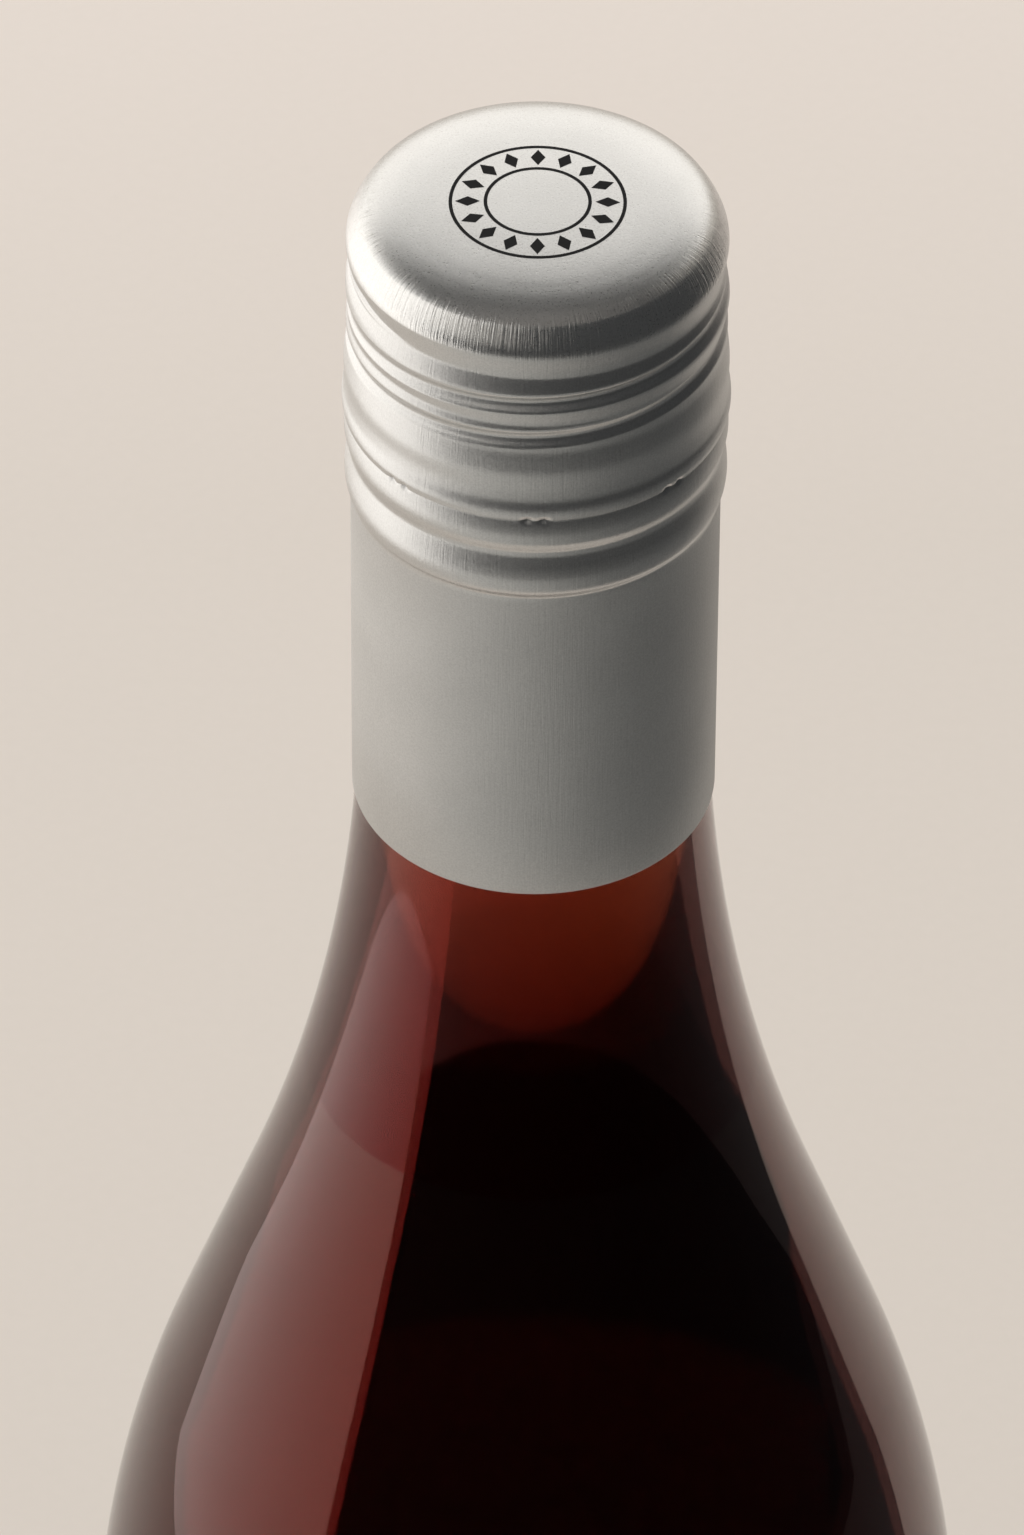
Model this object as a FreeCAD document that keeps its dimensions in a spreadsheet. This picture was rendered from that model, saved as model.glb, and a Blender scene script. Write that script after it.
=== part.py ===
"""Still wine bottle, 750 ml, with a long-skirt aluminium screw cap.

Three separate pieces: the glass bottle, the wine inside it and the cap. The
origin is the centre of the standing ring, +Z runs up the bottle's axis, and
all lengths are millimetres. Every outline is a half section in the XZ plane,
turned about the Z axis.
"""
import FreeCAD
import Part
import Sketcher
import math
import os

# The driving dimensions: name, value, what it is. Angles are in degrees.
DRIVING = [
    # glass bottle
    ("body_height", 150.5, "straight side, from the standing ring to the shoulder"),
    ("body_diameter", 75.0, "outside of the straight side"),
    ("body_wall", 2.6, "glass of the side and the shoulder"),
    ("shoulder_round", 116.0, "radius of the convex lower shoulder"),
    ("shoulder_slope", 19.6, "angle of the sloping shoulder from the axis"),
    ("neck_hollow", 175.0, "radius of the concave sweep into the neck"),
    ("neck_diameter", 28.4, "outside of the straight neck"),
    ("neck_wall", 4.8, "glass of the straight neck"),
    ("bore_edge_round", 0.8, "inner edge of the rim"),
    ("rim_gap", 0.3, "from the rim's flat top to where the cap's edge bends down"),
    ("heel_round", 6.0, "outer edge of the foot"),
    ("inner_heel_round", 8.0, "inner edge of the foot"),
    ("standing_ring_width", 6.5, "flat ring that the bottle stands on"),
    ("push_up", 9.0, "height of the hollow under the foot"),
    ("base_wall", 4.5, "glass of the foot"),
    # wine
    ("fill_depth", 50.0, "wine level, down from the rim"),
    # screw cap, up the bottle's neck
    ("cap_height", 60.0, "from the skirt's edge to the top"),
    ("cap_wall", 0.22, "aluminium sheet"),
    ("cap_clearance", 0.38, "from the neck to the inside of the skirt"),
    ("neck_cover", 10.03, "straight neck starts this far above the skirt's edge"),
    ("dome_rise", 0.35, "crown of the top"),
    ("crown_round", 2.4, "rounded edge of the top"),
    ("crown_slope", 22.0, "angle at which that edge leans when the crown takes over"),
    # screw cap, steps outwards from the skirt
    ("top_inset", 0.4, "top disc with its rounded edge, inwards from the skirt"),
    ("crown_step", 0.25, "foot of the sloping crown"),
    ("thread_step", 0.3, "band that carries the thread"),
    ("tear_step", 0.65, "flared edge over the tear line"),
    ("ridge_step", 0.45, "ridge under the tear line"),
    ("valley_step", 0.15, "bottom of the rolled-in valley"),
    ("bead_step", 0.45, "fullest part of the bead"),
    # screw cap, distances down from the top
    ("crown_groove_drop", 4.9, "middle of the ring groove under the crown"),
    ("thread_drop", 13.5, "start of the rolled thread"),
    ("barrel_drop", 14.5, "top of the barrel under the thread"),
    ("tear_drop", 19.9, "middle of the tear line"),
    ("ridge_drop", 22.3, "lower edge of the ridge"),
    ("valley_drop", 23.8, "bottom of the rolled-in valley"),
    ("bead_drop", 26.8, "fullest part of the bead"),
    ("skirt_drop", 28.2, "where the skirt meets the bead"),
    # screw cap, its groove, thread and tear line
    ("crown_groove_width", 2.2, "width of the ring groove"),
    ("crown_groove_depth", 0.35, "depth of the ring groove"),
    ("thread_pitch", 3.5, "rise of the thread in one turn"),
    ("thread_turns", 2.4, "turns of the thread"),
    ("thread_round", 1.1, "radius of the thread's hollow"),
    ("thread_depth", 0.45, "depth of the thread's hollow"),
    ("slit_height", 0.26, "opening of each slit in the tear line"),
    ("bridge_width", 1.3, "sheet left between two slits"),
]
BRIDGES = 8


class Size:
    """A length worked out from the sheet: its number and its expression."""

    def __init__(self, value, text):
        self.value = value
        self.text = text

    def join(self, other, sign, value_of):
        other = other if isinstance(other, Size) else Size(other, repr(other))
        value = value_of(self.value, other.value)
        return Size(value, "({} {} {})".format(self.text, sign, other.text))

    def __add__(self, other):
        return self.join(other, "+", lambda a, b: a + b)

    def __sub__(self, other):
        return self.join(other, "-", lambda a, b: a - b)

    def __mul__(self, other):
        return self.join(other, "*", lambda a, b: a * b)

    def __truediv__(self, other):
        return self.join(other, "/", lambda a, b: a / b)


def sine(angle):
    """The sine of a Size in degrees."""
    return Size(math.sin(math.radians(angle.value)), "sin({})".format(angle.text))


def cosine(angle):
    """The cosine of a Size in degrees."""
    return Size(math.cos(math.radians(angle.value)), "cos({})".format(angle.text))


doc = FreeCAD.newDocument("wine_bottle")


def driving_sheet():
    """Write the driving dimensions into a sheet and return them as Sizes."""
    sheet = doc.addObject("Spreadsheet::Sheet", "Sizes")
    sizes = {}
    for row, (name, value, meaning) in enumerate(DRIVING, start=1):
        sheet.set("A{}".format(row), name)
        sheet.set("B{}".format(row), str(value))
        sheet.set("C{}".format(row), meaning)
        sheet.setAlias("B{}".format(row), name)
        sizes[name] = Size(value, "Sizes.{}".format(name))
    doc.recompute()
    return sizes


size = driving_sheet()
ZERO = Size(0.0, "0")

# Places that more than one piece needs.
body_radius = size["body_diameter"] / 2
neck_radius = size["neck_diameter"] / 2
bore_radius = neck_radius - size["neck_wall"]
skirt_radius = neck_radius + size["cap_clearance"] + size["cap_wall"]
tear_radius = skirt_radius + size["tear_step"]
thread_radius = skirt_radius + size["thread_step"]
heel_radius = body_radius - size["heel_round"]
ring_radius = heel_radius - size["standing_ring_width"]
slope = size["shoulder_slope"]
edge_centre = skirt_radius - size["top_inset"] - size["crown_round"]


def arc_radius(half_width, rise):
    """The radius of an arc that rises this much over this half width."""
    return (half_width * half_width + rise * rise) / (rise * 2)


push_round = arc_radius(ring_radius, size["push_up"])


def shoulder(side_radius, round_radius, hollow_radius, top_radius, meet):
    """The points of a shoulder: side, round, slope, hollow and straight top.

    side_radius and top_radius are the straight stretches that it joins,
    meet is the height where the slope, drawn on upwards, crosses top_radius.
    Returns the heights and radii of its four tangent points, lowest first.
    """
    half_turn = sine(slope) / (cosine(slope) + 1)
    hollow_top = meet + hollow_radius * half_turn
    slope_top_r = top_radius + hollow_radius - hollow_radius * cosine(slope)
    slope_top_z = hollow_top - hollow_radius * sine(slope)
    slope_low_r = side_radius - round_radius + round_radius * cosine(slope)
    drop = (slope_low_r - slope_top_r) * cosine(slope) / sine(slope)
    slope_low_z = slope_top_z - drop
    side_z = slope_low_z - round_radius * sine(slope)
    return [
        (side_radius, side_z),
        (slope_low_r, slope_low_z),
        (slope_top_r, slope_top_z),
        (top_radius, hollow_top),
    ]


# The outer shoulder stands on the straight side, so its height above the
# side is worked out first, from a slope that crosses the neck at height 0.
outer_from_zero = shoulder(body_radius, size["shoulder_round"],
                           size["neck_hollow"], neck_radius, ZERO)
meet_height = size["body_height"] - outer_from_zero[0][1]
outer_shoulder = shoulder(body_radius, size["shoulder_round"],
                          size["neck_hollow"], neck_radius, meet_height)

# The skirt covers the top of the neck's sweep, and the cap's flat inner face
# rests on the rim.
cap_edge = outer_shoulder[3][1] - size["neck_cover"]
cap_top = cap_edge + size["cap_height"]
rim_height = cap_top - size["dome_rise"] - size["cap_wall"]

# The inner slope lies one wall inside the outer one, measured square to it.
inner_radius = body_radius - size["body_wall"]
slope_shift = size["body_wall"] / cosine(slope)
inner_meet = (meet_height
              + (neck_radius - slope_shift - bore_radius) * cosine(slope) / sine(slope))
inner_shoulder = shoulder(inner_radius, size["shoulder_round"] - size["body_wall"],
                          size["neck_hollow"], bore_radius, inner_meet)


def plane(body, role):
    """The origin plane of a body that has this role."""
    return [f for f in body.Origin.OriginFeatures if f.Role == role][0]


def new_body(label):
    """An empty body with a label."""
    body = doc.addObject("PartDesign::Body", label)
    body.Label = label
    return body


def new_sketch(body, name, turned=0.0):
    """A sketch on the body's XZ plane, turned about the Z axis by an angle."""
    sketch = body.newObject("Sketcher::SketchObject", name)
    sketch.AttachmentSupport = [(plane(body, "XZ_Plane"), "")]
    sketch.MapMode = "FlatFace"
    turn = FreeCAD.Rotation(FreeCAD.Vector(0, 1, 0), turned)
    sketch.AttachmentOffset = FreeCAD.Placement(FreeCAD.Vector(), turn)
    return sketch


def bind(sketch, constraint, expression):
    """Add a constraint and tie its value to an expression of the sheet."""
    index = sketch.addConstraint(constraint)
    sketch.setExpression("Constraints[{}]".format(index), expression)


def arc_between(start, end, radius, side):
    """The arc from start to end with its centre on side +1 (left) or -1."""
    chord = end - start
    half = chord.Length / 2
    left = FreeCAD.Vector(-chord.y, chord.x, 0).normalize()
    reach = math.sqrt(max(radius ** 2 - half ** 2, 0.0))
    centre = start + chord / 2 + left * (side * reach)
    circle = Part.Circle(centre, FreeCAD.Vector(0, 0, 1), radius)
    turn_start, turn_end = (start, end) if side > 0 else (end, start)
    return Part.ArcOfCircle(circle, circle.parameter(turn_start), circle.parameter(turn_end))


def outline(sketch, corners):
    """Draw a closed outline in a sketch and tie it to the sheet.

    corners is a list of (r, z) or (r, z, radius, side): the edge that leaves
    a corner is straight, or an arc of that radius with its centre on the left
    (+1) or the right (-1) of the way to the next corner.
    """
    start_is = {}
    end_is = {}
    for number, corner in enumerate(corners):
        after = corners[(number + 1) % len(corners)]
        start = FreeCAD.Vector(corner[0].value, corner[1].value, 0)
        end = FreeCAD.Vector(after[0].value, after[1].value, 0)
        if len(corner) == 2:
            edge = sketch.addGeometry(Part.LineSegment(start, end), False)
            start_is[number], end_is[number] = (edge, 1), (edge, 2)
            continue
        radius, side = corner[2], corner[3]
        edge = sketch.addGeometry(arc_between(start, end, radius.value, side), False)
        start_is[number], end_is[number] = ((edge, 1), (edge, 2)) if side > 0 else ((edge, 2), (edge, 1))
        bind(sketch, Sketcher.Constraint("Radius", edge, radius.value), radius.text)
    for number, corner in enumerate(corners):
        here = start_is[number]
        before = end_is[(number - 1) % len(corners)]
        sketch.addConstraint(Sketcher.Constraint("Coincident", *before, *here))
        for kind, length in (("DistanceX", corner[0]), ("DistanceY", corner[1])):
            if length is ZERO:
                axis = -2 if kind == "DistanceX" else -1
                sketch.addConstraint(Sketcher.Constraint("PointOnObject", *here, axis))
            else:
                bind(sketch, Sketcher.Constraint(kind, -1, 1, *here, length.value), length.text)


def revolve(body, name, corners):
    """Turn an outline all the way round the Z axis."""
    sketch = new_sketch(body, name + "_outline")
    outline(sketch, corners)
    turned = body.newObject("PartDesign::Revolution", name)
    turned.Profile = sketch
    turned.ReferenceAxis = (sketch, ["V_Axis"])
    turned.Angle = 360
    sketch.Visibility = False
    return turned


def inner_wall_down():
    """The glass bottle's inner wall, from the bore down to the axis."""
    side, low, high, top = inner_shoulder
    return [
        (top[0], top[1], size["neck_hollow"], +1),
        (high[0], high[1]),
        (low[0], low[1], size["shoulder_round"] - size["body_wall"], -1),
        (side[0], side[1]),
        (inner_radius, size["base_wall"] + size["inner_heel_round"], size["inner_heel_round"], -1),
        (inner_radius - size["inner_heel_round"], size["base_wall"]),
        (ring_radius, size["base_wall"], push_round, +1),
        (ZERO, size["base_wall"] + size["push_up"]),
    ]


def glass_bottle():
    """The bottle: foot with a push-up, straight side, shoulder and neck."""
    body = new_body("bottle")
    side, low, high, top = outer_shoulder
    rim_flat = edge_centre - size["rim_gap"]
    rim_round = neck_radius - rim_flat
    foot = [
        (ZERO, size["push_up"], push_round, -1),
        (ring_radius, ZERO),
        (heel_radius, ZERO, size["heel_round"], +1),
        (body_radius, size["heel_round"]),
    ]
    outside = [
        (side[0], side[1], size["shoulder_round"], +1),
        (low[0], low[1]),
        (high[0], high[1], size["neck_hollow"], -1),
        (top[0], top[1]),
        (neck_radius, rim_height - rim_round, rim_round, +1),
        (rim_flat, rim_height),
        (bore_radius + size["bore_edge_round"], rim_height, size["bore_edge_round"], +1),
        (bore_radius, rim_height - size["bore_edge_round"]),
    ]
    revolve(body, "blown_glass", foot + outside + inner_wall_down())
    return body


def wine():
    """The wine: the bottle's inside, less what lies above the wine's level."""
    body = new_body("wine")
    level = rim_height - size["fill_depth"]
    revolve(body, "inside", [(ZERO, rim_height), (bore_radius, rim_height)] + inner_wall_down())
    sketch = new_sketch(body, "air_outline")
    outline(sketch, [(ZERO, level), (body_radius, level), (body_radius, rim_height), (ZERO, rim_height)])
    air = body.newObject("PartDesign::Groove", "air")
    air.Profile = sketch
    air.ReferenceAxis = (sketch, ["V_Axis"])
    air.Angle = 360
    sketch.Visibility = False
    return body


def cap_outline(inset):
    """The cap's half section, moved inwards by inset: 0 is its outside.

    The inside has a flat top, which is the face that rests on the rim.
    """
    outside = inset is ZERO

    def at(step, drop):
        return (skirt_radius + size[step] - inset, cap_top - size[drop])

    edge_round = size["crown_round"] - inset
    seat = cap_top - size["dome_rise"] - inset
    edge_middle = cap_top - size["dome_rise"] - size["crown_round"]
    lean = size["crown_slope"]
    dome_round = arc_radius(edge_centre, size["dome_rise"])
    crown_foot = skirt_radius + size["crown_step"] - inset
    groove_middle = cap_top - size["crown_groove_drop"]
    half_groove = size["crown_groove_width"] / 2
    groove_round = arc_radius(half_groove, size["crown_groove_depth"]) + inset
    return [
        (ZERO, cap_top, dome_round, -1) if outside else (ZERO, seat),
        (edge_centre, seat, edge_round, -1),
        (edge_centre + edge_round * cosine(lean), edge_middle + edge_round * sine(lean)),
        (crown_foot, groove_middle + half_groove, groove_round, +1),
        (crown_foot, groove_middle - half_groove),
        (thread_radius - inset, groove_middle - size["crown_groove_width"]),
        at("thread_step", "barrel_drop"),
        at("tear_step", "tear_drop"),
        at("ridge_step", "ridge_drop"),
        at("valley_step", "valley_drop"),
        at("bead_step", "bead_drop"),
        (skirt_radius - inset, cap_top - size["skirt_drop"]),
        (skirt_radius - inset, cap_edge),
        (ZERO, cap_edge),
    ]


def roll_thread(body, name, hollow):
    """Press the thread's hollow, of this radius, into a turned body."""
    sketch = new_sketch(body, name + "_hollow", turned=90.0)
    centre_r = thread_radius + size["thread_round"] - size["thread_depth"]
    centre_z = cap_top - size["thread_drop"]
    centre = FreeCAD.Vector(centre_r.value, centre_z.value, 0)
    circle = sketch.addGeometry(Part.Circle(centre, FreeCAD.Vector(0, 0, 1), hollow.value), False)
    bind(sketch, Sketcher.Constraint("Radius", circle, hollow.value), hollow.text)
    bind(sketch, Sketcher.Constraint("DistanceX", -1, 1, circle, 3, centre_r.value), centre_r.text)
    bind(sketch, Sketcher.Constraint("DistanceY", -1, 1, circle, 3, centre_z.value), centre_z.text)
    thread = body.newObject("PartDesign::SubtractiveHelix", name)
    thread.Profile = sketch
    thread.ReferenceAxis = (sketch, ["V_Axis"])
    thread.Mode = "pitch-turns-angle"
    thread.setExpression("Pitch", size["thread_pitch"].text)
    thread.setExpression("Turns", size["thread_turns"].text)
    thread.LeftHanded = False
    thread.Reversed = False
    sketch.Visibility = False
    return thread


def tear_line(body):
    """Cut the slits of the tear line, with a bridge left between each two."""
    sketch = new_sketch(body, "slit_outline", turned=180.0 / BRIDGES)
    half = size["slit_height"] / 2
    low = cap_top - size["tear_drop"] - half
    high = cap_top - size["tear_drop"] + half
    deep = skirt_radius - size["cap_wall"] * 2
    clear = tear_radius + size["cap_wall"]
    outline(sketch, [(deep, low), (clear, low), (clear, high), (deep, high)])
    slit = body.newObject("PartDesign::Groove", "slit")
    slit.Profile = sketch
    slit.ReferenceAxis = (sketch, ["V_Axis"])
    slit.Midplane = True
    slit.setExpression("Angle", "{} - {} / {} * 180 / pi".format(
        360 / BRIDGES, size["bridge_width"].text, tear_radius.text))
    doc.recompute()
    slits = body.newObject("PartDesign::PolarPattern", "slits")
    slits.Originals = [slit]
    slits.Axis = (sketch, ["V_Axis"])
    slits.Angle = 360
    slits.Occurrences = BRIDGES
    body.Tip = slits
    sketch.Visibility = False
    return slits


def screw_cap():
    """The cap: its turned outside with thread and slits, less its inside."""
    outside = new_body("cap_outside")
    revolve(outside, "drawn_outside", cap_outline(ZERO))
    roll_thread(outside, "outside_thread", size["thread_round"])
    tear_line(outside)
    inside = new_body("cap_inside")
    revolve(inside, "drawn_inside", cap_outline(size["cap_wall"]))
    roll_thread(inside, "inside_thread", size["thread_round"] + size["cap_wall"])
    cap = doc.addObject("Part::Cut", "cap")
    cap.Label = "cap"
    cap.Base = outside
    cap.Tool = inside
    return cap


def check(pieces):
    """Stop if anything in the document failed or a piece isn't one solid."""
    failed = [o.Label for o in doc.Objects if "Invalid" in o.State or "Error" in o.State]
    if failed:
        raise RuntimeError("failed: " + ", ".join(failed))
    for piece in pieces:
        shape = piece.Shape
        if shape.isNull() or not shape.isValid() or len(shape.Solids) != 1:
            raise RuntimeError(piece.Label + " isn't one valid solid")


def main():
    """Build the pieces, check them and write one STEP file for each."""
    pieces = [glass_bottle(), wine(), screw_cap()]
    for piece in pieces:
        piece.Placement = FreeCAD.Placement()
    doc.recompute()
    check(pieces)
    os.makedirs("parts", exist_ok=True)
    for piece in pieces:
        piece.Shape.exportStep(os.path.join("parts", piece.Label + ".step"))
        print(piece.Label, "volume", round(piece.Shape.Volume / 1000.0, 3), "ml")


main()
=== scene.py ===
"""The looks of a full wine bottle with a long-skirt screw cap.

The turned glass, the wine and the rolled aluminium cap stand where the frame
has them. Outlines are (radius, height) in millimetres, turned about the Z
axis; azimuth 0 is the front (-Y) and grows towards the right (+X).
"""
import math

import bpy
from mathutils import Matrix, Vector


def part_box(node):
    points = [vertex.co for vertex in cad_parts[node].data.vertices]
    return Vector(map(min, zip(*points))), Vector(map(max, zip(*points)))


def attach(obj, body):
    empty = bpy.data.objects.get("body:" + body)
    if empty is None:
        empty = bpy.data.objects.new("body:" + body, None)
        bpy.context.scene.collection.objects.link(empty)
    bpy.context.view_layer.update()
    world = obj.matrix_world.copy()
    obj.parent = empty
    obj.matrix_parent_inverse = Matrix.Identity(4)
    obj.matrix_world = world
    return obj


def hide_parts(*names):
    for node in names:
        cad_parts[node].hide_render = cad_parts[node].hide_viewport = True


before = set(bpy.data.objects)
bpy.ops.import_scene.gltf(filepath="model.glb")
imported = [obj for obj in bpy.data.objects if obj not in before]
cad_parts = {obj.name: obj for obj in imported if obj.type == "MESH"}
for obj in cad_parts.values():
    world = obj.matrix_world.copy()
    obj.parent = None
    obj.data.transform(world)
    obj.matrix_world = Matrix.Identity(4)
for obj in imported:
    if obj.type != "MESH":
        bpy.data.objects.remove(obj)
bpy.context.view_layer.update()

MM = 0.001

# Places taken from the frame, in millimetres.
cap_low, cap_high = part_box("cap")
bottle_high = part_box("bottle")[1]
wine_low, wine_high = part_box("wine")
SKIRT_EDGE = cap_low.z / MM
CAP_TOP = cap_high.z / MM
RIM = bottle_high.z / MM
BODY_RADIUS = bottle_high.x / MM
WINE_LEVEL = wine_high.z / MM
BASE_WALL = wine_low.z / MM

# The glass.
BODY_HEIGHT = 150.5
BODY_WALL = 2.6
SHOULDER_ROUND = 116.0
SHOULDER_SLOPE = math.radians(19.6)
NECK_HOLLOW = 175.0
NECK_RADIUS = 14.2
NECK_WALL = 4.8
BORE_RADIUS = NECK_RADIUS - NECK_WALL
RIM_ROUND = 2.5
BORE_EDGE_ROUND = 0.8
HEEL_ROUND = 6.0
INNER_HEEL_ROUND = 8.0
STANDING_RING_WIDTH = 6.5
STANDING_EDGE_ROUND = 1.2
PUSH_UP = 9.0
STANDING_EDGE_LIFT = 0.6 * STANDING_EDGE_ROUND      # where the push-up meets that round
STANDING_EDGE_INSET = 0.4 * STANDING_EDGE_ROUND
WINE_OVERLAP = 0.05     # the wine reaches this far into the glass
DRY_PAINTED_WARM_SHEEN = "ffaa9b"     # painted reflection: tints what the outside of the glass mirrors warm pink
WET_PAINTED_RED_REFLECTION = "d83428"     # painted reflection: tints wine red what the glass inside mirrors where wine wets it, and what the wine's surface mirrors

# The cap.
SHEET = 0.22
SKIRT_RADIUS = 14.8
SKIRT_EDGE_ROUND = 0.11
LIP_HEIGHT = 0.3        # the rolled lower edge ends here
SKIRT_TOP = 31.0
SEAT_FLAT = 11.9        # the top's inside lies flat on the rim out to here
SEAT_CORNER = [(12.6, 0.13), (13.2, 0.4), (13.8, 0.95)]    # radius, drop under the seat
SEAT_CORNER_DROP = 2.2
INSIDE_STEP_IN = 0.35   # the inside is this much narrower behind the thread
INSIDE_STEP_LOW = 42.0
INSIDE_STEP_HIGH = 44.0
THREAD_LOW = 46.5
THREAD_PITCH = 3.5
THREAD_TURNS = 2.4
THREAD_HALF_WIDTH = 0.85
THREAD_DEPTH = 0.32
THREAD_RUN = 0.12       # turns over which the thread comes in and runs out
BRIDGES = 8
BRIDGE_WIDTH = 1.3
SLIT_LOW = 39.98
SLIT_HIGH = 40.20
SLIT_DEPTH = 0.32
SLIT_END_EASE = 0.25    # how softly the slit begins beside a bridge
SLIT_WALL_EASE = 0.05
NOTCH_RADIUS = 0.60
NOTCH_DEPTH = 0.22
CROWN_WIDEST = 56.3     # the top's finish ends at this height over the skirt's edge

# The drawn lines of the cap, and the radii between which they fade in.
LINE_WIDTH = 0.17
LINE_LENGTH = 4.0
LINES_FROM = 12.6
LINES_FULL = 14.0

# The cap's finishes: name, least and most roughness, how far the drawn lines spread a
# reflection, and how deep they are.
CAP_FINISHES = [
    ("drawn_satin_aluminium", 0.41, 0.48, 0.85, 0.02),      # the skirt
    ("rolled_satin_aluminium", 0.31, 0.38, 0.85, 0.025),    # the rings
    ("pressed_satin_aluminium", 0.27, 0.33, 0.0, 0.06),     # the top
]

# The print on the cap's top.
PRINT_THICKNESS = 0.02
PRINT_CLEAR = 0.004
LOZENGES = 16
LOZENGE_RADIUS = 5.5
LOZENGE_LENGTH = 1.9
LOZENGE_WIDTH = 1.15
PRINTED_CIRCLES = ((4.1, 0.28), (6.85, 0.28))    # middle radius and line width

# The camera, in metres and radians, and its lens in millimetres.
CAMERA_BACK = 0.7397            # in front of the bottle's axis
CAMERA_OVER_SKIRT = 0.6604      # above the skirt's edge
CAMERA_TURN = -0.00236          # to the right of straight ahead
CAMERA_DOWN = 0.728414          # below the horizon
CAMERA_ROLL = 0.006109
CAMERA_REACH = 20.0
LENS_MM = 285.04
SENSOR_MM = 36.0

# How fine the meshes are: pieces round the axis, degrees on arcs, millimetres on lines.
GLASS_SEGMENTS = 256
CAP_SEGMENTS = 400
CIRCLE_STEPS = 96
CARD_STEPS = 24
ARC_STEP = 4.0
SHOULDER_ARC_STEP = 0.7
FOOT_STEP = 2.0
SLOPE_STEP = 4.0
SIDE_STEP = 12.0
SKIRT_STEP = 8.0
RING_STEP = 0.2
TOP_STEP = 0.25
SLIT_STEP = 0.05


# ---------------------------------------------------------------- outlines

def arc(centre_r, centre_z, radius, start, end, step=ARC_STEP):
    """Points of an arc from one angle to another, in degrees from +r."""
    count = max(2, math.ceil(abs(end - start) / step))
    points = []
    for number in range(count + 1):
        angle = math.radians(start + (end - start) * number / count)
        points.append((centre_r + radius * math.cos(angle), centre_z + radius * math.sin(angle)))
    return points


def straight(start, end, step):
    """Points of a straight line, without its first one."""
    count = max(1, math.ceil(math.dist(start, end) / step))
    return [(start[0] + (end[0] - start[0]) * n / count,
             start[1] + (end[1] - start[1]) * n / count) for n in range(1, count + 1)]


def smooth_line(knots, step):
    """A smooth line through knots, sampled about every step."""
    gaps = [math.dist(a, b) for a, b in zip(knots, knots[1:])]

    def slope_at(number):
        if number == 0 or number == len(knots) - 1:
            first = min(number, len(knots) - 2)
            return [(knots[first + 1][k] - knots[first][k]) / gaps[first] for k in (0, 1)]
        before, after = gaps[number - 1], gaps[number]
        return [((knots[number][k] - knots[number - 1][k]) / before * after
                 + (knots[number + 1][k] - knots[number][k]) / after * before) / (before + after)
                for k in (0, 1)]

    line = [knots[0]]
    for number, gap in enumerate(gaps):
        start, end = knots[number], knots[number + 1]
        leave, arrive = slope_at(number), slope_at(number + 1)
        count = max(1, math.ceil(gap / step))
        for piece in range(1, count + 1):
            t = piece / count
            line.append(tuple(
                start[k] * (1 - t) ** 2 * (1 + 2 * t) + leave[k] * gap * t * (1 - t) ** 2
                + end[k] * t ** 2 * (3 - 2 * t) - arrive[k] * gap * t ** 2 * (1 - t)
                for k in (0, 1)))
    return line


def ball_radius(radius, rise):
    """The radius of the ball that a dome of this radius and rise is cut from."""
    return (radius ** 2 + rise ** 2) / (2 * rise)


def dome(radius, low, rise, steps=10):
    """A shallow arc from a radius at the height low up to low + rise on the axis."""
    ball = ball_radius(radius, rise)
    points = []
    for number in range(steps + 1):
        r = radius * (1 - number / steps)
        points.append((r, low + rise - ball + math.sqrt(ball ** 2 - r ** 2)))
    return points


def shoulder(side_radius, round_radius, top_radius, meet):
    """The shoulder from the straight side up into the neck: round, slope, hollow.

    meet is the height where the slope, drawn on, crosses top_radius.
    """
    slope = SHOULDER_SLOPE
    lean = math.degrees(slope)
    hollow_top = meet + NECK_HOLLOW * math.tan(slope / 2)
    hollow_r = top_radius + NECK_HOLLOW
    slope_top_r = hollow_r - NECK_HOLLOW * math.cos(slope)
    slope_top_z = hollow_top - NECK_HOLLOW * math.sin(slope)
    slope_low_r = side_radius - round_radius * (1 - math.cos(slope))
    slope_low_z = slope_top_z - (slope_low_r - slope_top_r) / math.tan(slope)
    side_z = slope_low_z - round_radius * math.sin(slope)
    lower = arc(side_radius - round_radius, side_z, round_radius, 0, lean, SHOULDER_ARC_STEP)
    upper = arc(hollow_r, hollow_top, NECK_HOLLOW, 180 + lean, 180, SHOULDER_ARC_STEP)
    return lower + straight(lower[-1], upper[0], SLOPE_STEP)[:-1] + upper


def outer_meet():
    """Where the outer slope, drawn on, crosses the neck's side."""
    drop = shoulder(BODY_RADIUS, SHOULDER_ROUND, NECK_RADIUS, 0.0)[0][1]
    return BODY_HEIGHT - drop


def inner_wall():
    """The inside of the glass, from the axis of the foot up to the bore's edge."""
    side = BODY_RADIUS - BODY_WALL
    slope_shift = BODY_WALL / math.cos(SHOULDER_SLOPE)
    meet = outer_meet() + (NECK_RADIUS - slope_shift - BORE_RADIUS) / math.tan(SHOULDER_SLOPE)
    ring = BODY_RADIUS - HEEL_ROUND - STANDING_RING_WIDTH
    floor = dome(ring, BASE_WALL, PUSH_UP)[::-1]
    heel_r = side - INNER_HEEL_ROUND
    heel = arc(heel_r, BASE_WALL + INNER_HEEL_ROUND, INNER_HEEL_ROUND, -90, 0)
    upper = shoulder(side, SHOULDER_ROUND - BODY_WALL, BORE_RADIUS, meet)
    return (floor + straight(floor[-1], heel[0], FOOT_STEP)[:-1] + heel
            + straight(heel[-1], upper[0], SIDE_STEP)[:-1] + upper)


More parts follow.
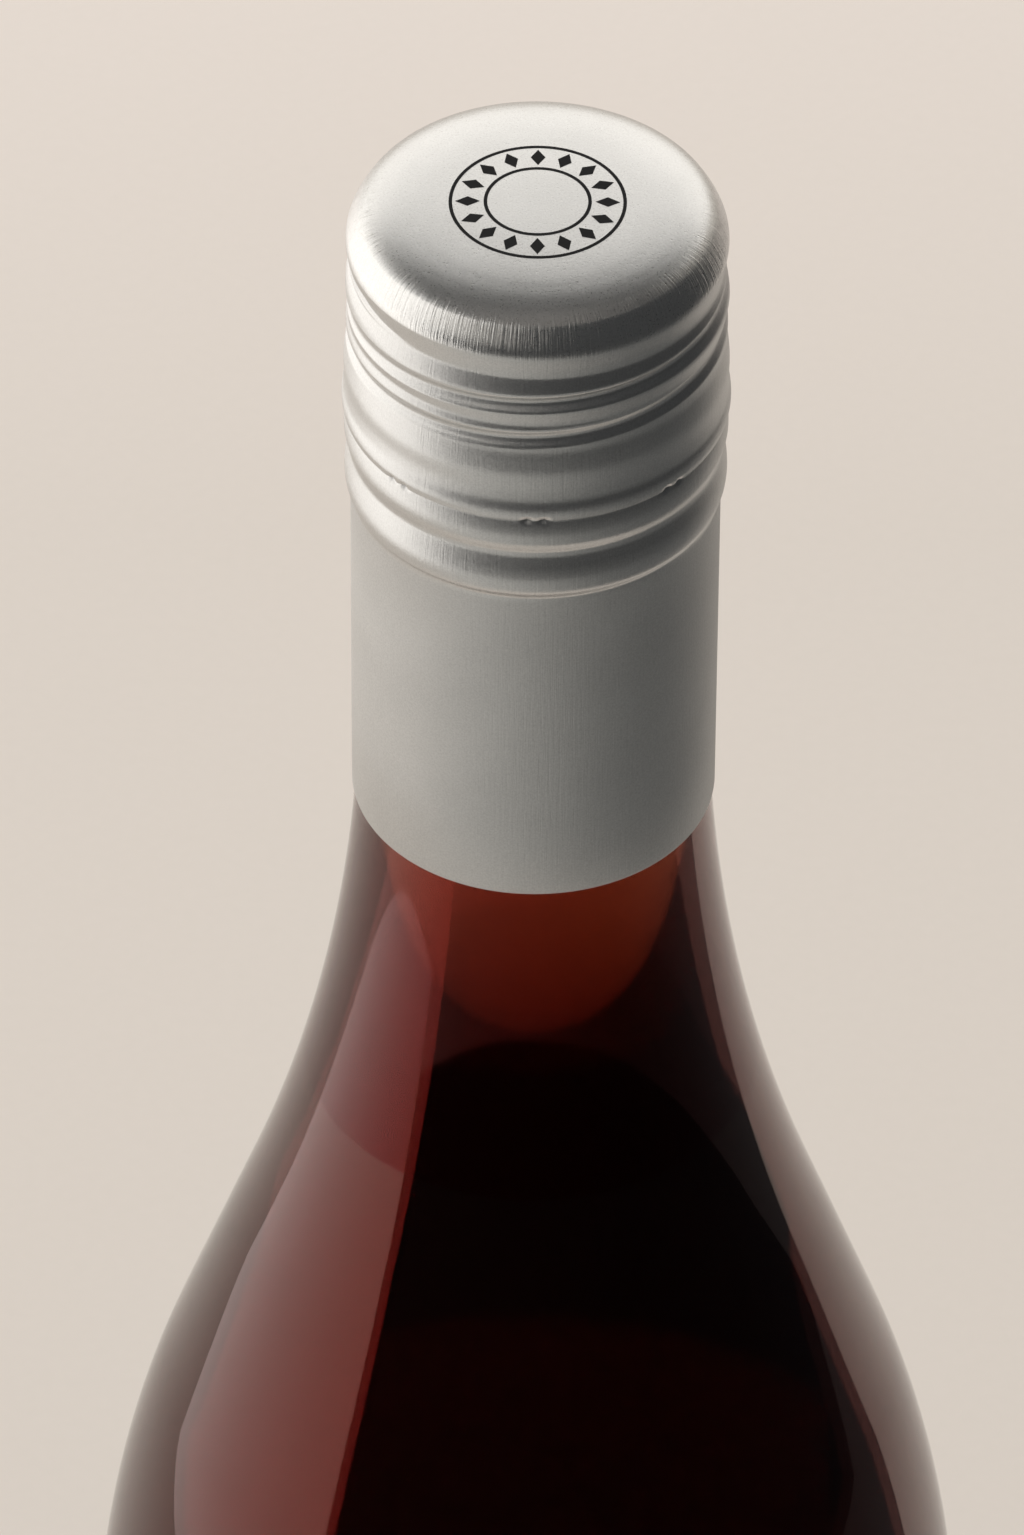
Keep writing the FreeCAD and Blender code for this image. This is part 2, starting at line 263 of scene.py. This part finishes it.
def glass_outline():
    """The whole section of the bottle: foot, side, shoulder, rim, bore and inside."""
    heel_r = BODY_RADIUS - HEEL_ROUND
    ring = heel_r - STANDING_RING_WIDTH
    edge = STANDING_EDGE_ROUND
    foot = dome(ring - edge, STANDING_EDGE_LIFT, PUSH_UP - STANDING_EDGE_LIFT)[::-1]
    foot += arc(ring + STANDING_EDGE_INSET, edge, edge, 215, 270, step=14)
    heel = arc(heel_r, HEEL_ROUND, HEEL_ROUND, -90, 0)
    upper = shoulder(BODY_RADIUS, SHOULDER_ROUND, NECK_RADIUS, outer_meet())
    rim = arc(NECK_RADIUS - RIM_ROUND, RIM - RIM_ROUND, RIM_ROUND, 0, 90, step=10)
    bore_edge = arc(BORE_RADIUS + BORE_EDGE_ROUND, RIM - BORE_EDGE_ROUND, BORE_EDGE_ROUND,
                    90, 180, step=15)
    inside = inner_wall()[::-1]
    return (foot + heel + straight(heel[-1], upper[0], SIDE_STEP)[:-1] + upper
            + rim + bore_edge + inside)


def wine_outline():
    """The wine, from the axis over the foot up to its level, a hair inside the glass."""
    wall = []
    for r, z in inner_wall():
        if z < WINE_LEVEL:
            wall.append((r + WINE_OVERLAP if r > 0 else 0.0, z - WINE_OVERLAP))
    return wall + [(wall[-1][0], WINE_LEVEL), (0.0, WINE_LEVEL)]


# The rolled side of the cap, upwards from the skirt: (radius, height over the
# skirt's edge).
ROLLED_SIDE = [
    (14.80, 31.20), (14.86, 31.75),                     # crease over the skirt
    (15.12, 32.30), (15.24, 32.90), (15.26, 33.60),     # bead
    (15.17, 34.60), (15.02, 35.60), (14.95, 36.15),     # valley
    (14.97, 36.50), (15.16, 37.10), (15.28, 37.60),     # ridge
    (15.30, 38.20), (15.22, 39.20), (15.12, 39.90),     # lip under the tear line
]
FLARED_SIDE = [
    (15.40, 40.24), (15.46, 40.60), (15.44, 41.20),     # flare over the tear line
    (15.33, 41.90), (15.28, 42.80), (15.28, 44.80),     # barrel
    (15.18, 45.90), (15.08, 46.90), (15.08, 48.90),     # band that carries the thread
    (14.98, 49.60), (15.09, 50.40), (15.19, 51.10),
    (15.12, 51.80), (15.06, 52.90), (14.88, 53.65),
    (14.79, 54.15), (14.86, 54.90), (15.02, 55.85),     # groove under the crown
    (15.08, 56.30), (15.02, 56.90), (14.80, 57.50),     # crown
    (14.52, 58.05), (14.30, 58.42),
]
TOP_EDGE = [
    (14.30, 58.42), (14.05, 58.75), (13.60, 59.07),
    (12.80, 59.38), (11.80, 59.585), (10.10, 59.77),
    (8.40, 59.865), (7.00, 59.91),
]


def cap_outside():
    """The outside of the cap, from the skirt's rolled edge up to its middle."""
    edge_r = SKIRT_RADIUS - SKIRT_EDGE_ROUND
    line = arc(edge_r, SKIRT_EDGE_ROUND, SKIRT_EDGE_ROUND, -90, 0, step=30)
    line += straight(line[-1], ROLLED_SIDE[0], SKIRT_STEP)[:-1]
    line += smooth_line(ROLLED_SIDE, RING_STEP)
    lip = ROLLED_SIDE[-1]
    flare = FLARED_SIDE[0]
    line += straight(lip, (lip[0], SLIT_LOW), SLIT_STEP)
    line += straight((lip[0], SLIT_LOW), (flare[0], SLIT_HIGH), SLIT_STEP)
    line += smooth_line([(flare[0], SLIT_HIGH)] + FLARED_SIDE, RING_STEP)[1:]
    line += smooth_line(TOP_EDGE, TOP_STEP)[1:]
    low = TOP_EDGE[-1][1]
    line += dome(TOP_EDGE[-1][0], low, CAP_TOP - SKIRT_EDGE - low)[1:]
    return line


def cap_inside():
    """The plain inside of the cap, from its middle down to the skirt's edge."""
    inside_r = SKIRT_RADIUS - SHEET
    behind_thread = inside_r - INSIDE_STEP_IN
    seat = RIM - SKIRT_EDGE
    line = [(0.0, seat), (SEAT_FLAT, seat)]
    line += [(radius, seat - drop) for radius, drop in SEAT_CORNER]
    line += [(behind_thread, seat - SEAT_CORNER_DROP), (behind_thread, INSIDE_STEP_HIGH)]
    line += [(inside_r, height) for height in (INSIDE_STEP_LOW, SKIRT_TOP, LIP_HEIGHT, SKIRT_EDGE_ROUND)]
    return line


# ------------------------------------------------------------------ meshes

def mesh_piece(name, points, faces):
    """A new mesh object with these points, in metres, and faces."""
    mesh = bpy.data.meshes.new(name)
    mesh.from_pydata(points, [], faces)
    piece = bpy.data.objects.new(name, mesh)
    bpy.context.scene.collection.objects.link(piece)
    return piece


def turned(name, outline, segments, dent=None):
    """Turn a closed outline about the Z axis into one mesh.

    The outline starts and ends on the axis, or closes on itself. dent, if
    given, says how deep the surface is pressed in at an azimuth, a radius
    and a height.
    """
    points, rings = [], []
    for radius, height in outline:
        if radius < 1e-6:
            rings.append([len(points)] * segments)
            points.append((0.0, 0.0, height * MM))
            continue
        rings.append(list(range(len(points), len(points) + segments)))
        for number in range(segments):
            azimuth = 2 * math.pi * number / segments
            r = radius - (dent(azimuth, radius, height) if dent else 0.0)
            points.append((r * math.sin(azimuth) * MM, -r * math.cos(azimuth) * MM, height * MM))
    closed = outline[0][0] > 1e-6
    faces = []
    for low, high in zip(rings, rings[1:] + (rings[:1] if closed else [])):
        for number in range(segments):
            after = (number + 1) % segments
            corners = [low[number], low[after], high[after], high[number]]
            faces.append([c for k, c in enumerate(corners) if c not in corners[:k]])
    piece = mesh_piece(name, points, [f for f in faces if len(f) > 2])
    piece.data.shade_smooth()
    return piece


def smooth_step(value):
    """0 below 0, 1 above 1, and a smooth rise between."""
    value = min(1.0, max(0.0, value))
    return value * value * (3 - 2 * value)


def thread_dent(azimuth, height):
    """How deep the rolled thread is, which starts at the back and rises to the right."""
    deepest = 0.0
    turn = (azimuth / (2 * math.pi) + 0.5) % 1.0
    for lap in range(math.ceil(THREAD_TURNS)):
        travelled = turn + lap
        if travelled > THREAD_TURNS:
            break
        off = abs(height - THREAD_LOW - THREAD_PITCH * travelled) / THREAD_HALF_WIDTH
        if off < 1:
            run = smooth_step(travelled / THREAD_RUN)
            run *= smooth_step((THREAD_TURNS - travelled) / THREAD_RUN)
            deepest = max(deepest, THREAD_DEPTH * run * (1 - off * off) ** 1.5)
    return deepest


def slit_dent(azimuth, radius, height):
    """How deep the tear line is: a slit between the bridges, and a nick at each end."""
    middle = (SLIT_LOW + SLIT_HIGH) / 2
    spacing = 2 * math.pi / BRIDGES
    from_bridge = abs((azimuth + spacing / 2) % spacing - spacing / 2) * radius
    past_bridge = from_bridge - BRIDGE_WIDTH / 2
    open_here = smooth_step(past_bridge / SLIT_END_EASE)
    half = (SLIT_HIGH - SLIT_LOW) / 2
    across = smooth_step((half - abs(height - middle)) / SLIT_WALL_EASE)
    away = math.hypot(past_bridge, height - middle) / NOTCH_RADIUS
    nick = NOTCH_DEPTH * (1 - away * away) ** 2 if away < 1 else 0.0
    return max(SLIT_DEPTH * open_here * across, nick)


def cap_dent(azimuth, radius, height):
    """Everything that is pressed into the cap's side at one place."""
    height -= SKIRT_EDGE
    if radius < SKIRT_RADIUS:
        return 0.0
    if SLIT_LOW - NOTCH_RADIUS < height < SLIT_HIGH + NOTCH_RADIUS:
        return slit_dent(azimuth, radius, height)
    return thread_dent(azimuth, height)


# --------------------------------------------------------------- materials

def linear(colour):
    """An sRGB hex colour as linear red, green, blue and alpha."""
    parts = [int(colour[k:k + 2], 16) / 255 for k in (0, 2, 4)]
    return [p / 12.92 if p <= 0.04045 else ((p + 0.055) / 1.055) ** 2.4 for p in parts] + [1.0]


def add(tree, kind, inputs=None, **settings):
    """Add a node. inputs maps its sockets to plain values or to other nodes' outputs."""
    made = tree.nodes.new(kind)
    for name, value in settings.items():
        setattr(made, name, value)
    for socket, value in (inputs or {}).items():
        if isinstance(value, bpy.types.NodeSocket):
            tree.links.new(value, made.inputs[socket])
        else:
            made.inputs[socket].default_value = value
    return made


def new_material(name):
    """An empty material: its tree and its output."""
    material = bpy.data.materials.new(name)
    material.use_nodes = True
    material.node_tree.nodes.clear()
    output = add(material.node_tree, "ShaderNodeOutputMaterial")
    return material, material.node_tree, output


def per_mm(size):
    """The noise scale that gives features of this many millimetres."""
    return 1.0 / (size * MM)


def satin_aluminium(name, smoothest, roughest, spread, line_depth):
    """Deep-drawn aluminium sheet under a matt clear lacquer.

    The rolled sheet's fine grain and the lacquer blur every reflection into a
    soft sheen, and the drawing tool leaves hair-fine lines that run up the
    side. They spread a reflection round the cap but hardly up and down it,
    which is what spread stands for: the flat top isn't drawn and has none.
    line_depth is the depth of the lines.
    """
    material, tree, output = new_material(name)
    place = add(tree, "ShaderNodeTexCoord").outputs["Object"]
    apart = add(tree, "ShaderNodeSeparateXYZ", {"Vector": place})
    flat = add(tree, "ShaderNodeCombineXYZ", {"X": apart.outputs["X"], "Y": apart.outputs["Y"]})
    around = add(tree, "ShaderNodeVectorMath", {0: flat.outputs[0]}, operation="NORMALIZE")
    # On the unit circle one radian is one cap radius, so the lines' scale is that radius
    # over their width. Up the side they stay joined for about their length.
    lines_at = add(tree, "ShaderNodeVectorMath",
                   {0: around.outputs[0], 1: (SKIRT_RADIUS / LINE_WIDTH,) * 3}, operation="MULTIPLY")
    up = add(tree, "ShaderNodeMath", {0: apart.outputs["Z"], 1: per_mm(LINE_LENGTH)}, operation="MULTIPLY")
    lines_split = add(tree, "ShaderNodeSeparateXYZ", {"Vector": lines_at.outputs[0]})
    line_place = add(tree, "ShaderNodeCombineXYZ", {
        "X": lines_split.outputs["X"], "Y": lines_split.outputs["Y"], "Z": up.outputs[0]})
    lines = add(tree, "ShaderNodeTexNoise", {
        "Vector": line_place.outputs[0], "Scale": 1.0, "Detail": 3.0, "Roughness": 0.6})
    # The grain of the sheet is finer than this; 0.16 mm is as fine as still shows.
    grain = add(tree, "ShaderNodeTexNoise", {
        "Vector": place, "Scale": per_mm(0.16), "Detail": 2.0, "Roughness": 0.6})
    cloud = add(tree, "ShaderNodeTexNoise", {
        "Vector": place, "Scale": per_mm(7.0), "Detail": 3.0, "Roughness": 0.5})
    speckle = add(tree, "ShaderNodeMix", {0: 0.25, 2: grain.outputs["Fac"], 3: cloud.outputs["Fac"]})
    tone = add(tree, "ShaderNodeValToRGB", {"Fac": speckle.outputs[0]})
    tone.color_ramp.elements[0].position = 0.35
    tone.color_ramp.elements[0].color = linear("cfcfcd")
    tone.color_ramp.elements[1].position = 0.65
    tone.color_ramp.elements[1].color = linear("e1e1df")
    blur = add(tree, "ShaderNodeMapRange", {
        "Value": grain.outputs["Fac"], "From Min": 0.3, "From Max": 0.7,
        "To Min": smoothest, "To Max": roughest})
    # The top of the cap isn't drawn, so its lines fade out inside the crown's edge.
    radius = add(tree, "ShaderNodeVectorMath", {0: flat.outputs[0]}, operation="LENGTH")
    drawn = add(tree, "ShaderNodeMapRange", {
        "Value": radius.outputs["Value"], "From Min": LINES_FROM * MM, "From Max": LINES_FULL * MM})
    drawn_lines = add(tree, "ShaderNodeMath",
                      {0: lines.outputs["Fac"], 1: drawn.outputs[0]}, operation="MULTIPLY")
    line_bump = add(tree, "ShaderNodeBump", {
        "Strength": 1.0, "Distance": line_depth * MM, "Height": drawn_lines.outputs[0]})
    grain_bump = add(tree, "ShaderNodeBump", {
        "Strength": 0.25, "Distance": 0.03 * MM, "Height": grain.outputs["Fac"],
        "Normal": line_bump.outputs[0]})
    round_axis = add(tree, "ShaderNodeTangent", direction_type="RADIAL", axis="Z")
    metal = add(tree, "ShaderNodeBsdfPrincipled", {
        "Base Color": tone.outputs["Color"], "Metallic": 0.95, "Roughness": blur.outputs[0],
        "Anisotropic": spread, "Tangent": round_axis.outputs[0], "Normal": grain_bump.outputs[0]})
    tree.links.new(metal.outputs[0], output.inputs["Surface"])
    return material


def bottle_glass(name, painted_reflection_tint):
    """Clear soda-lime container glass, blown in a mould.

    It is smooth and colourless, and its skin is a little uneven from the
    mould, so that what it mirrors wavers. Its reflections are painted: where
    wine wets the inside, the tint paints what is mirrored wine red; on the outside
    it paints a warm cast on the soft sheen of a full bottle. At a grazing angle both stay white.
    """
    material, tree, output = new_material(name)
    place = add(tree, "ShaderNodeTexCoord").outputs["Object"]
    wave = add(tree, "ShaderNodeTexNoise", {
        "Vector": place, "Scale": per_mm(22.0), "Detail": 1.0, "Roughness": 0.4})
    uneven = add(tree, "ShaderNodeBump", {
        "Strength": 0.25, "Distance": 0.25 * MM, "Height": wave.outputs["Fac"]})
    glass = add(tree, "ShaderNodeBsdfPrincipled", {
        "Base Color": linear("fdf6ef"), "Roughness": 0.03, "IOR": 1.5,
        "Specular Tint": linear(painted_reflection_tint),
        "Transmission Weight": 1.0, "Normal": uneven.outputs[0]})
    tree.links.new(glass.outputs[0], output.inputs["Surface"])
    return material


def red_wine():
    """Young red wine: clear, deep red in a thin layer and black in a thick one."""
    material, tree, output = new_material("young_red_wine")
    place = add(tree, "ShaderNodeTexCoord").outputs["Object"]
    drift = add(tree, "ShaderNodeTexNoise", {
        "Vector": place, "Scale": per_mm(30.0), "Detail": 1.0})
    tint = add(tree, "ShaderNodeValToRGB", {"Fac": drift.outputs["Fac"]})
    tint.color_ramp.elements[0].color = linear("fff6f2")
    tint.color_ramp.elements[1].color = linear("ffffff")
    # Painted reflection: what the wine's surface mirrors is tinted wine red.
    surface = add(tree, "ShaderNodeBsdfPrincipled", {
        "Base Color": tint.outputs["Color"], "Roughness": 0.0, "IOR": 1.34,
        "Specular Tint": linear(WET_PAINTED_RED_REFLECTION), "Transmission Weight": 1.0})
    # In each metre of wine light fades by e to the density times (1 - colour).
    body = add(tree, "ShaderNodeVolumeAbsorption", {"Color": linear("d7a07e"), "Density": 240.0})
    tree.links.new(surface.outputs[0], output.inputs["Surface"])
    tree.links.new(body.outputs[0], output.inputs["Volume"])
    return material


def cap_ink():
    """Black pad-printed ink: a thin, almost matt film with a faint mottle."""
    material, tree, output = new_material("black_pad_printed_ink")
    place = add(tree, "ShaderNodeTexCoord").outputs["Object"]
    mottle = add(tree, "ShaderNodeTexNoise", {"Vector": place, "Scale": per_mm(0.2), "Detail": 2.0})
    tone = add(tree, "ShaderNodeValToRGB", {"Fac": mottle.outputs["Fac"]})
    tone.color_ramp.elements[0].color = linear("101011")
    tone.color_ramp.elements[1].color = linear("1c1c1d")
    ink = add(tree, "ShaderNodeBsdfPrincipled", {
        "Base Color": tone.outputs["Color"], "Roughness": 0.75, "Specular IOR Level": 0.25})
    tree.links.new(ink.outputs[0], output.inputs["Surface"])
    return material


def pale_paper():
    """Warm off-white studio paper: matt, so that it shines nowhere and shadows stay soft."""
    material, tree, output = new_material("warm_white_paper")
    place = add(tree, "ShaderNodeTexCoord").outputs["Object"]
    fibre = add(tree, "ShaderNodeTexNoise", {"Vector": place, "Scale": per_mm(1.5), "Detail": 3.0})
    apart = add(tree, "ShaderNodeSeparateXYZ", {"Vector": place})
    # Painted light: the sheet is painted a little paler towards its back, as if more light fell there.
    back = add(tree, "ShaderNodeMapRange", {
        "Value": apart.outputs["Y"], "From Min": 0.33, "From Max": 0.46})
    mixed = add(tree, "ShaderNodeMix", {0: 0.2, 2: back.outputs[0], 3: fibre.outputs["Fac"]})
    tone = add(tree, "ShaderNodeValToRGB", {"Fac": mixed.outputs[0]})
    tone.color_ramp.elements[0].color = linear("dbd3ca")
    tone.color_ramp.elements[1].color = linear("eae1d9")
    paper = add(tree, "ShaderNodeBsdfPrincipled", {
        "Base Color": tone.outputs["Color"], "Roughness": 0.9, "Specular IOR Level": 0.1})
    tree.links.new(paper.outputs[0], output.inputs["Surface"])
    return material


def studio_card(name, shades):
    """Matt card for pieces that show only in reflections, painted in shades round the bottle that stand in
    for light and shade there: painted reflections.

    shades is a list of (azimuth in degrees, colour).
    """
    material, tree, output = new_material(name)
    place = add(tree, "ShaderNodeTexCoord").outputs["Object"]
    apart = add(tree, "ShaderNodeSeparateXYZ", {"Vector": place})
    forward = add(tree, "ShaderNodeMath", {0: apart.outputs["Y"], 1: -1.0}, operation="MULTIPLY")
    azimuth = add(tree, "ShaderNodeMath", {0: apart.outputs["X"], 1: forward.outputs[0]},
                  operation="ARCTAN2")
    share = add(tree, "ShaderNodeMapRange", {
        "Value": azimuth.outputs[0], "From Min": -math.pi, "From Max": math.pi})
    tone = add(tree, "ShaderNodeValToRGB", {"Fac": share.outputs[0]})
    stops = tone.color_ramp.elements
    while len(stops) < len(shades):
        stops.new(0.5)
    for stop, (degrees, colour) in zip(stops, shades):
        stop.position = degrees / 360 + 0.5
        stop.color = linear(colour)
    card = add(tree, "ShaderNodeBsdfPrincipled", {
        "Base Color": tone.outputs["Color"], "Roughness": 1.0, "Specular IOR Level": 0.0})
    tree.links.new(card.outputs[0], output.inputs["Surface"])
    return material


# ------------------------------------------------------------------ pieces

def stand_for(piece, node, material):
    """Give a piece its material and let it stand for a node of the frame."""
    piece.data.materials.append(material)
    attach(piece, "root")
    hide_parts(node)


def make_cap():
    """The screw cap: one thin shell."""
    outside = [(r, z + SKIRT_EDGE) for r, z in cap_outside()]
    inside = [(r, z + SKIRT_EDGE) for r, z in cap_inside()]
    shell = turned("screw_cap", inside + outside, CAP_SEGMENTS, cap_dent)
    drawn, rolled, pressed = [satin_aluminium(*finish) for finish in CAP_FINISHES]
    stand_for(shell, "cap", drawn)
    shell.data.materials.append(rolled)
    shell.data.materials.append(pressed)
    for face in shell.data.polygons:
        height = face.center.z / MM - SKIRT_EDGE
        if height > CROWN_WIDEST:
            face.material_index = 2
        elif height > ROLLED_SIDE[0][1]:
            face.material_index = 1


def make_bottle():
    """The blown glass."""
    glass = turned("glass_bottle", glass_outline(), GLASS_SEGMENTS)
    stand_for(glass, "bottle", bottle_glass("clear_glass_painted_warm_sheen", DRY_PAINTED_WARM_SHEEN))
    glass.data.materials.append(bottle_glass("wine_wetted_glass_painted_red", WET_PAINTED_RED_REFLECTION))
    # Painted reflection: the faces inside the glass under the wine, and those over the foot, take the
    # glass whose reflections are painted wine red.
    for face in glass.data.polygons:
        middle = face.center / MM
        from_axis = math.hypot(middle.x, middle.y)
        outwards = face.normal.x * middle.x + face.normal.y * middle.y
        over_foot = from_axis < BODY_RADIUS / 2 and face.normal.z > 0
        if BASE_WALL < middle.z < WINE_LEVEL and (outwards < 0 or over_foot):
            face.material_index = 1


def make_wine():
    """The wine in the bottle."""
    wine = turned("red_wine", wine_outline(), GLASS_SEGMENTS)
    stand_for(wine, "wine", red_wine())


def top_height(radius):
    """The height of the cap's domed top at a radius."""
    outer, low = TOP_EDGE[-1]
    ball = ball_radius(outer, CAP_TOP - SKIRT_EDGE - low)
    return CAP_TOP - ball + math.sqrt(ball ** 2 - radius ** 2)


def printed_film(points, faces, outline):
    """Add a closed patch of ink film to lists of points and faces.

    outline is a list of (x, y) round the patch, seen from above.
    """
    first = len(points)
    count = len(outline)
    for lift in (PRINT_CLEAR, PRINT_CLEAR + PRINT_THICKNESS):
        for x, y in outline:
            points.append((x * MM, y * MM, (top_height(math.hypot(x, y)) + lift) * MM))
    faces.append([first + count - 1 - n for n in range(count)])
    faces.append([first + count + n for n in range(count)])
    for n in range(count):
        after = (n + 1) % count
        faces.append([first + n, first + after, first + count + after, first + count + n])


def printed_circle(points, faces, middle, width):
    """Add one closed circle of ink film to lists of points and faces."""
    first = len(points)
    low, high = middle - width / 2, middle + width / 2
    under, over = PRINT_CLEAR, PRINT_CLEAR + PRINT_THICKNESS
    for number in range(CIRCLE_STEPS):
        angle = 2 * math.pi * number / CIRCLE_STEPS
        for radius, lift in ((low, under), (high, under), (high, over), (low, over)):
            points.append((radius * math.cos(angle) * MM, radius * math.sin(angle) * MM,
                           (top_height(radius) + lift) * MM))
    for number in range(CIRCLE_STEPS):
        here = first + 4 * number
        there = first + 4 * ((number + 1) % CIRCLE_STEPS)
        for corner in range(4):
            after = (corner + 1) % 4
            faces.append([here + corner, there + corner, there + after, here + after])


def make_print():
    """A plain ornament on the cap's top: a wreath of lozenges between two circles."""
    points, faces = [], []
    for number in range(LOZENGES):
        angle = 2 * math.pi * number / LOZENGES
        along = Vector((math.sin(angle), math.cos(angle)))
        across = Vector((along.y, -along.x))
        middle = along * LOZENGE_RADIUS
        corners = [middle + along * LOZENGE_LENGTH / 2, middle - across * LOZENGE_WIDTH / 2,
                   middle - along * LOZENGE_LENGTH / 2, middle + across * LOZENGE_WIDTH / 2]
        printed_film(points, faces, [tuple(c) for c in corners])
    for middle, width in PRINTED_CIRCLES:
        printed_circle(points, faces, middle, width)
    piece = mesh_piece("cap_print", points, faces)
    piece.data.materials.append(cap_ink())
    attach(piece, "root")


# ------------------------------------------------------------------ studio

def aim_camera():
    """A long lens that looks down on the cap from the front."""
    lens = bpy.data.cameras.new("camera")
    lens.lens = LENS_MM
    lens.sensor_width = SENSOR_MM
    lens.clip_end = CAMERA_REACH
    camera = bpy.data.objects.new("camera", lens)
    turn = (Matrix.Rotation(-CAMERA_TURN, 4, "Z")
            @ Matrix.Rotation(math.pi / 2 - CAMERA_DOWN, 4, "X")
            @ Matrix.Rotation(CAMERA_ROLL, 4, "Z"))
    place = Vector((0.0, -CAMERA_BACK, SKIRT_EDGE * MM + CAMERA_OVER_SKIRT))
    camera.matrix_world = Matrix.Translation(place) @ turn
    bpy.context.scene.collection.objects.link(camera)
    bpy.context.scene.camera = camera


def soft_panel(name, place, target, width, height, radiance):
    """A large softbox that faces a point; it isn't seen by the camera itself."""
    lamp = bpy.data.lights.new(name, "AREA")
    lamp.shape = "RECTANGLE"
    lamp.size = width
    lamp.size_y = height
    lamp.energy = radiance * math.pi * width * height
    panel = bpy.data.objects.new(name, lamp)
    panel.location = place
    panel.rotation_euler = (Vector(target) - Vector(place)).to_track_quat("-Z", "Y").to_euler()
    panel.visible_camera = False
    bpy.context.scene.collection.objects.link(panel)
    return panel


def mirror_card(name, start, end, edges, material):
    """A card swept round the bottle between two azimuths in degrees.

    edges is its two edges as (distance from the axis, height) in metres. It shows only
    in what mirrors or bends light, so that it shades nothing.
    """
    points = []
    for number in range(CARD_STEPS + 1):
        azimuth = math.radians(start + (end - start) * number / CARD_STEPS)
        for distance, height in edges:
            points.append((distance * math.sin(azimuth), -distance * math.cos(azimuth), height))
    faces = [(2 * n, 2 * n + 2, 2 * n + 3, 2 * n + 1) for n in range(CARD_STEPS)]
    card = mesh_piece(name, points, faces)
    card.data.materials.append(material)
    card.visible_camera = False
    card.visible_diffuse = False
    card.visible_shadow = False


def lay_floor():
    """A level sheet of paper, far wider than the view."""
    half = 6.0
    floor = mesh_piece("paper_floor",
                       [(-half, -half, 0), (half, -half, 0), (half, half, 0), (-half, half, 0)],
                       [(0, 1, 2, 3)])
    floor.data.materials.append(pale_paper())


def hang_panels():
    """A soft panel close at the left, one behind and one far off.

    The close one shows only in glass and metal; the far one lights the paper evenly.
    """
    left = soft_panel("left_panel", (-0.34, 0.165, 0.32), (0.0, 0.165, 0.30),
                      width=0.77, height=0.64, radiance=0.92)
    left.visible_diffuse = False
    far = soft_panel("far_panel", (-1.7, 0.3, 1.5), (0.0, 0.0, 0.1),
                     width=1.4, height=1.4, radiance=2.3)
    far.visible_glossy = False
    far.visible_transmission = False
    soft_panel("back_panel", (0.0, 0.563, 0.64), (0.0, 0.0, 0.31),
               width=0.80, height=0.36, radiance=0.80)


def stand_cards():
    """Dark, pale and graded cards, seen only in reflections, whose painted light and shade give the metal
    and the glass their edges.
    """
    # Painted reflections: the black card paints shade, the pale card a lit side fading to dark, the grey
    # card a plain ceiling, and the graded card the floor, pale where lit at the left and dark at the
    # right.
    black = studio_card("black_card", [(-60, "3a3e42"), (40, "282c30")])
    graded = studio_card("floor_card_painted_light_and_shade", [
        (-62, "d2d1cd"), (-40, "c3c2bf"), (-20, "bfbfbc"), (0, "a6a6a3"),
        (25, "747574"), (45, "535556"), (124, "57595a")])
    pale = studio_card("pale_card", [(-58, "e6e6e4"), (-32, "dadad8"), (-12, "3a3e42")])
    grey = studio_card("grey_card", [(-180, "8b8d90"), (180, "8b8d90")])
    mirror_card("front_card", -58, 126, [(0.50, 0.0), (0.50, 0.95)], black)
    mirror_card("side_card", -58, -12, [(0.48, 0.345), (0.48, 0.94)], pale)
    mirror_card("floor_card", -62, 119, [(0.165, 0.001), (0.50, 0.001)], graded)
    mirror_card("ceiling_card", -180, 180, [(0.0, 0.955), (0.74, 0.955)], grey)
    mirror_card("back_flag", 80, 280, [(0.24, 0.95), (0.74, 0.95)], black)


def light_world():
    """The room: a plain fill, and a plain warm grey wherever it is seen or mirrored."""
    world = bpy.data.worlds.new("studio")
    bpy.context.scene.world = world
    world.use_nodes = True
    tree = world.node_tree
    tree.nodes.clear()
    path = add(tree, "ShaderNodeLightPath")
    looked_at = add(tree, "ShaderNodeMath", {
        0: path.outputs["Is Camera Ray"], 1: path.outputs["Is Glossy Ray"]}, operation="MAXIMUM")
    seen = add(tree, "ShaderNodeMath", {
        0: looked_at.outputs[0], 1: path.outputs["Is Transmission Ray"]}, operation="MAXIMUM")
    shown = add(tree, "ShaderNodeBackground", {"Color": linear("dad2c8"), "Strength": 1.0})
    fill = add(tree, "ShaderNodeBackground", {"Color": linear("f2efec"), "Strength": 0.82})
    both = add(tree, "ShaderNodeMixShader", {
        0: seen.outputs[0], 1: fill.outputs[0], 2: shown.outputs[0]})
    output = add(tree, "ShaderNodeOutputWorld", {"Surface": both.outputs[0]})
    output.is_active_output = True


make_cap()
make_bottle()
make_wine()
make_print()
aim_camera()
lay_floor()
hang_panels()
stand_cards()
light_world()
bpy.context.scene.view_settings.view_transform = "Standard"
